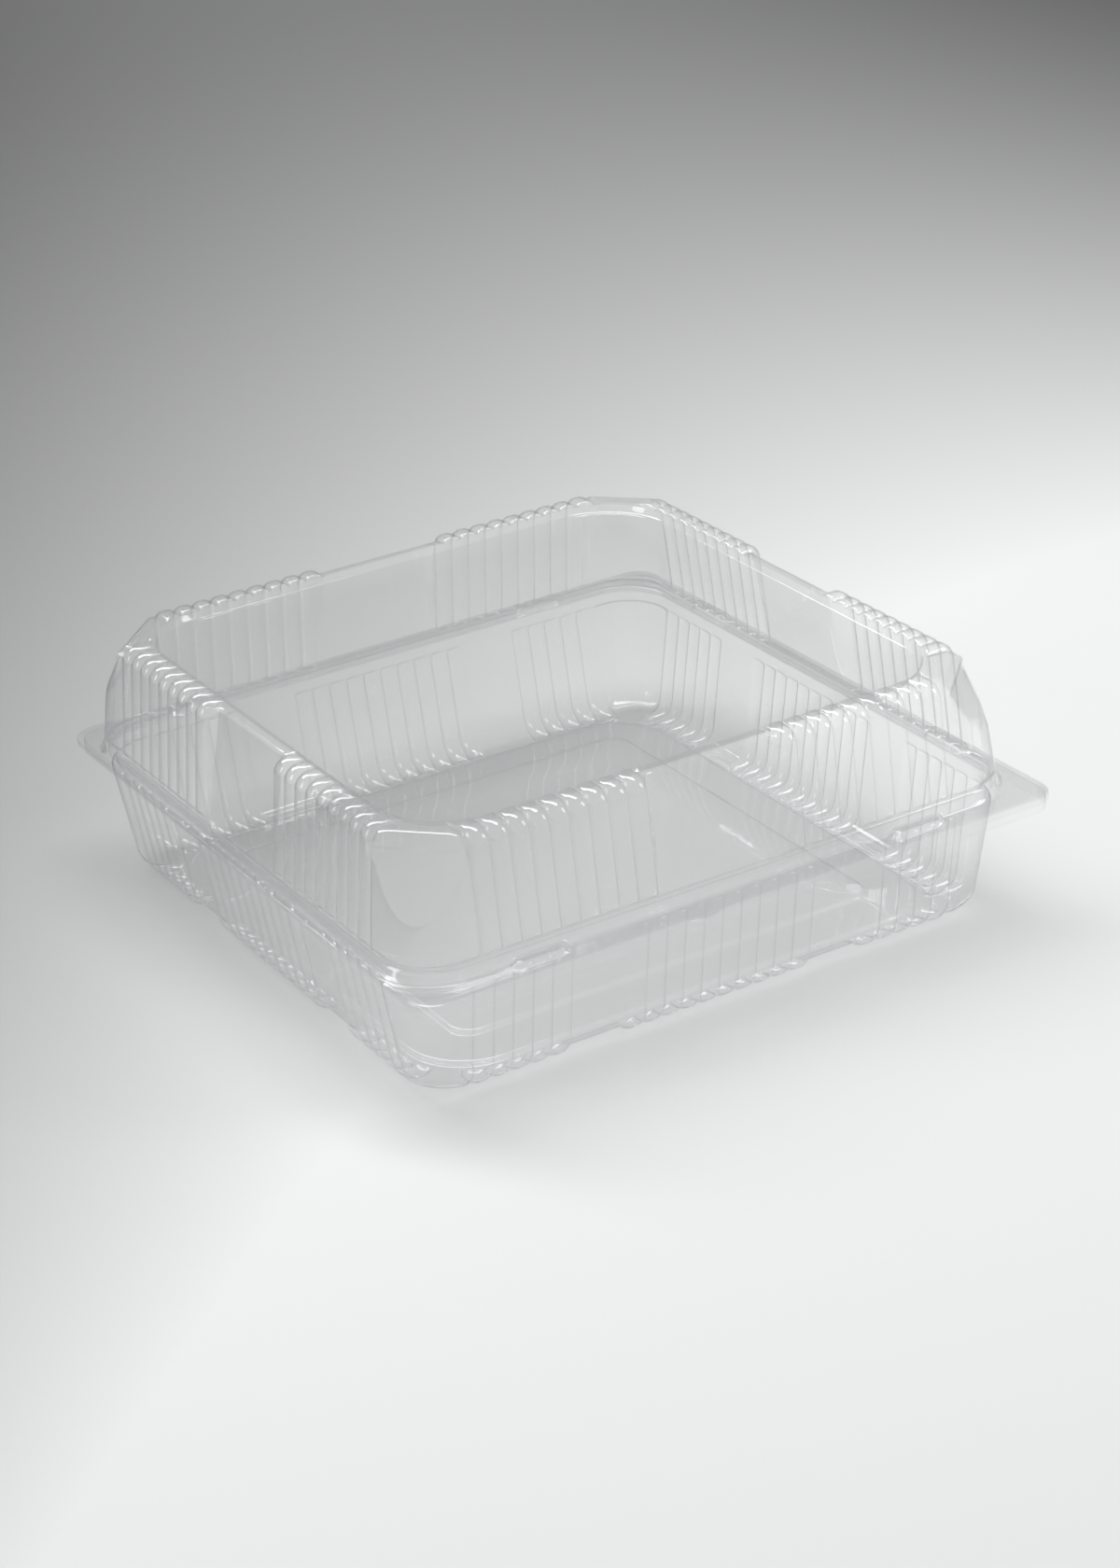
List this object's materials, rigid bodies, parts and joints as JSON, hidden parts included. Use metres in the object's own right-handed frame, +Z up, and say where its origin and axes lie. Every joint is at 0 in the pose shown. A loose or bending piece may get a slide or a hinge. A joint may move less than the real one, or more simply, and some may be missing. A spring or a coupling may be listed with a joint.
{
  "type": "hinged clamshell pack",
  "caption": "Clear formed plastic clamshell pack, shown closed: a ribbed tray and a ribbed domed lid with a sunk top panel, snap buttons and a fold along one side.",
  "frame": {"origin": "centre of the closed pack's whole outline, on the table", "axes": "+Z up; -Y towards the long side with the pointed nose; -X towards the hinged side"},
  "size_m": [0.2275, 0.2384, 0.0843],
  "materials": {
    "clear_sheet": "clear, glossy, faintly grey"
  },
  "bodies": {
    "base": {"tray": "clear_sheet", "hinge_strip": "clear_sheet"},
    "cover": {"lid": "clear_sheet"}
  },
  "joints": [
    {"name": "lid_fold", "type": "hinge", "parent": "base", "child": "cover", "pos_m": [-0.11285, 0.00125, 0.04215], "axis": [0, -1, 0], "range_deg": [0, 180], "deforming": ["hinge_strip"]}
  ]
}
